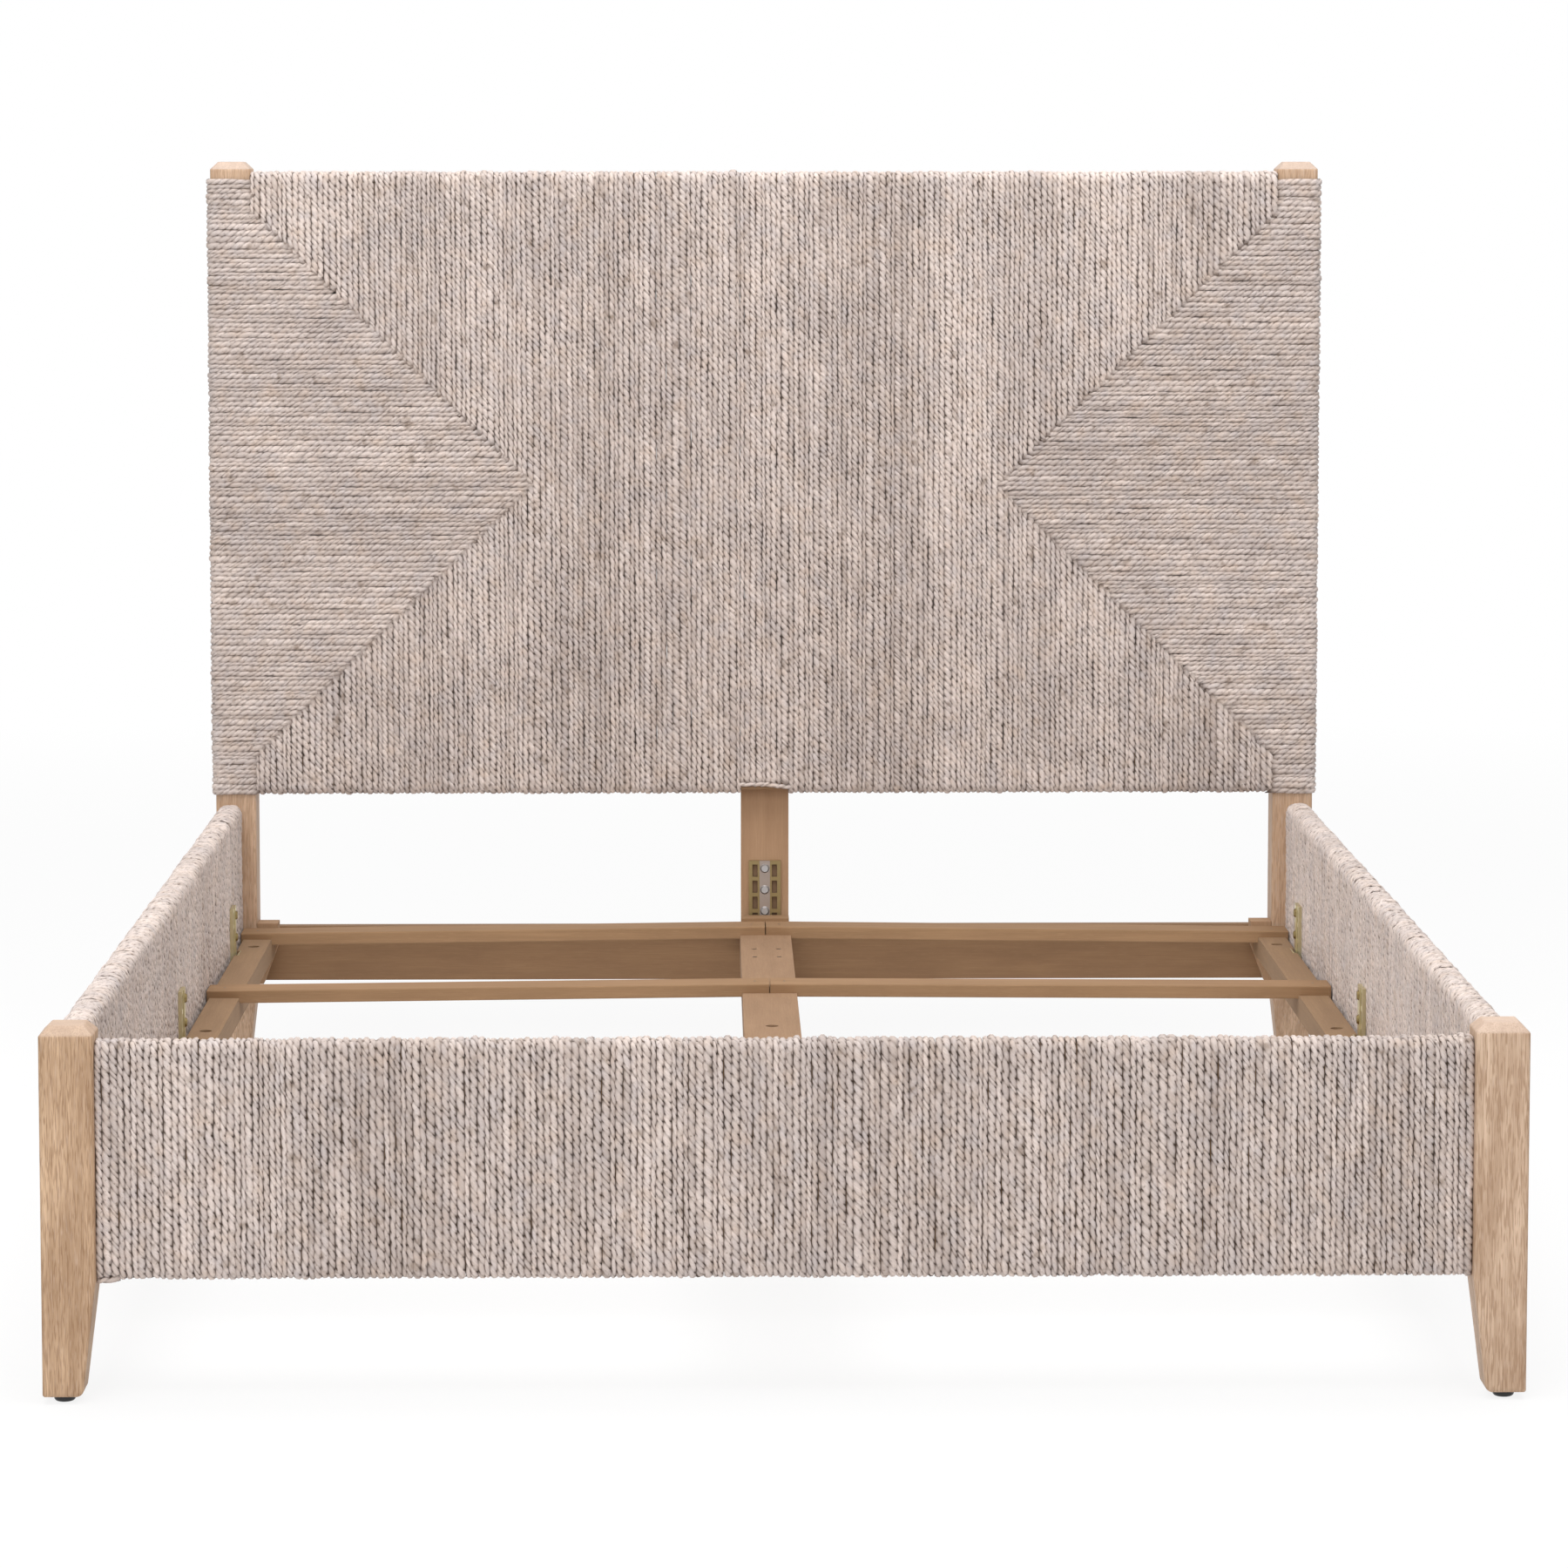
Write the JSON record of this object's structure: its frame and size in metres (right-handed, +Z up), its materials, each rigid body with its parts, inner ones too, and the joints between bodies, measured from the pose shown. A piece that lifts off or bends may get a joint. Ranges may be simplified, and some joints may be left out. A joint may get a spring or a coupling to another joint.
{
  "type": "bed frame",
  "caption": "Queen bed frame of pale wood: tall headboard, footboard and side rails bound in twisted cord, slats on ledgers hooked into steel brackets, and levelling feet that screw out.",
  "frame": {"origin": "on the floor, under the middle of the bed's box", "axes": "+Z up, +Y from the foot towards the headboard, +X to the right seen from the foot"},
  "size_m": [1.663, 2.1766, 1.368],
  "materials": {
    "post_wood": "pale oak, sanded, lightly whitewashed",
    "deck_wood": "tan softwood, planed, unfinished",
    "inner_wood": "plain board, unfinished",
    "cord": "two-ply twisted cord, matte, pale beige with grey flecks",
    "bracket_steel": "pressed steel, yellowish zinc",
    "screw_steel": "bright zinc",
    "glide_plastic": "moulded black"
  },
  "bodies": {
    "frame": {"bracket_screws": "screw_steel", "center_rail": "deck_wood", "center_rail_end_block": "deck_wood", "center_rail_hooks": "bracket_steel", "center_rail_screws": "screw_steel", "foot_post_left": "post_wood", "foot_post_right": "post_wood", "footboard_cord": "cord", "footboard_core": "inner_wood", "footboard_dowels": "inner_wood", "head_center_leg": "deck_wood", "head_corner_block_left": "deck_wood", "head_corner_block_right": "deck_wood", "head_post_left": "post_wood", "head_post_right": "post_wood", "head_stretcher_left": "deck_wood", "head_stretcher_right": "deck_wood", "headboard_bottom_rail": "inner_wood", "headboard_cord_left": "cord", "headboard_cord_middle": "cord", "headboard_cord_right": "cord", "headboard_dowels": "inner_wood", "headboard_top_rail": "inner_wood", "ledger_hooks_left": "bracket_steel", "ledger_hooks_right": "bracket_steel", "ledger_left": "deck_wood", "ledger_right": "deck_wood", "level_bracket_center_foot": "bracket_steel", "level_bracket_center_head": "bracket_steel", "level_brackets_left": "bracket_steel", "level_brackets_right": "bracket_steel", "leveller_inserts": "screw_steel", "post_slot_plates": "bracket_steel", "rail_hook_plates": "bracket_steel", "side_rail_left_cord": "cord", "side_rail_left_core": "inner_wood", "side_rail_right_cord": "cord", "side_rail_right_core": "inner_wood", "slat_left_1": "deck_wood", "slat_left_2": "deck_wood", "slat_left_3": "deck_wood", "slat_left_4": "deck_wood", "slat_left_5": "deck_wood", "slat_right_1": "deck_wood", "slat_right_2": "deck_wood", "slat_right_3": "deck_wood", "slat_right_4": "deck_wood", "slat_right_5": "deck_wood", "slat_screws": "screw_steel", "support_leg_cleats": "deck_wood", "support_leg_head": "deck_wood", "support_leg_middle": "deck_wood"},
    "leveller_center_head_body": {"leveller_center_head": "glide_plastic"},
    "leveller_center_middle_body": {"leveller_center_middle": "glide_plastic"},
    "leveller_foot_left_body": {"leveller_foot_left": "glide_plastic"},
    "leveller_foot_right_body": {"leveller_foot_right": "glide_plastic"},
    "leveller_head_left_body": {"leveller_head_left": "glide_plastic"},
    "leveller_head_right_body": {"leveller_head_right": "glide_plastic"}
  },
  "joints": [
    {"name": "leveller_center_head_screw", "type": "slide", "parent": "frame", "child": "leveller_center_head_body", "axis": [0, 0, -1], "range_m": [0, 0.01]},
    {"name": "leveller_center_middle_screw", "type": "slide", "parent": "frame", "child": "leveller_center_middle_body", "axis": [0, 0, -1], "range_m": [0, 0.01]},
    {"name": "leveller_foot_left_screw", "type": "slide", "parent": "frame", "child": "leveller_foot_left_body", "axis": [0, 0, -1], "range_m": [0, 0.01]},
    {"name": "leveller_foot_right_screw", "type": "slide", "parent": "frame", "child": "leveller_foot_right_body", "axis": [0, 0, -1], "range_m": [0, 0.01]},
    {"name": "leveller_head_left_screw", "type": "slide", "parent": "frame", "child": "leveller_head_left_body", "axis": [0, 0, -1], "range_m": [0, 0.01]},
    {"name": "leveller_head_right_screw", "type": "slide", "parent": "frame", "child": "leveller_head_right_body", "axis": [0, 0, -1], "range_m": [0, 0.01]}
  ]
}
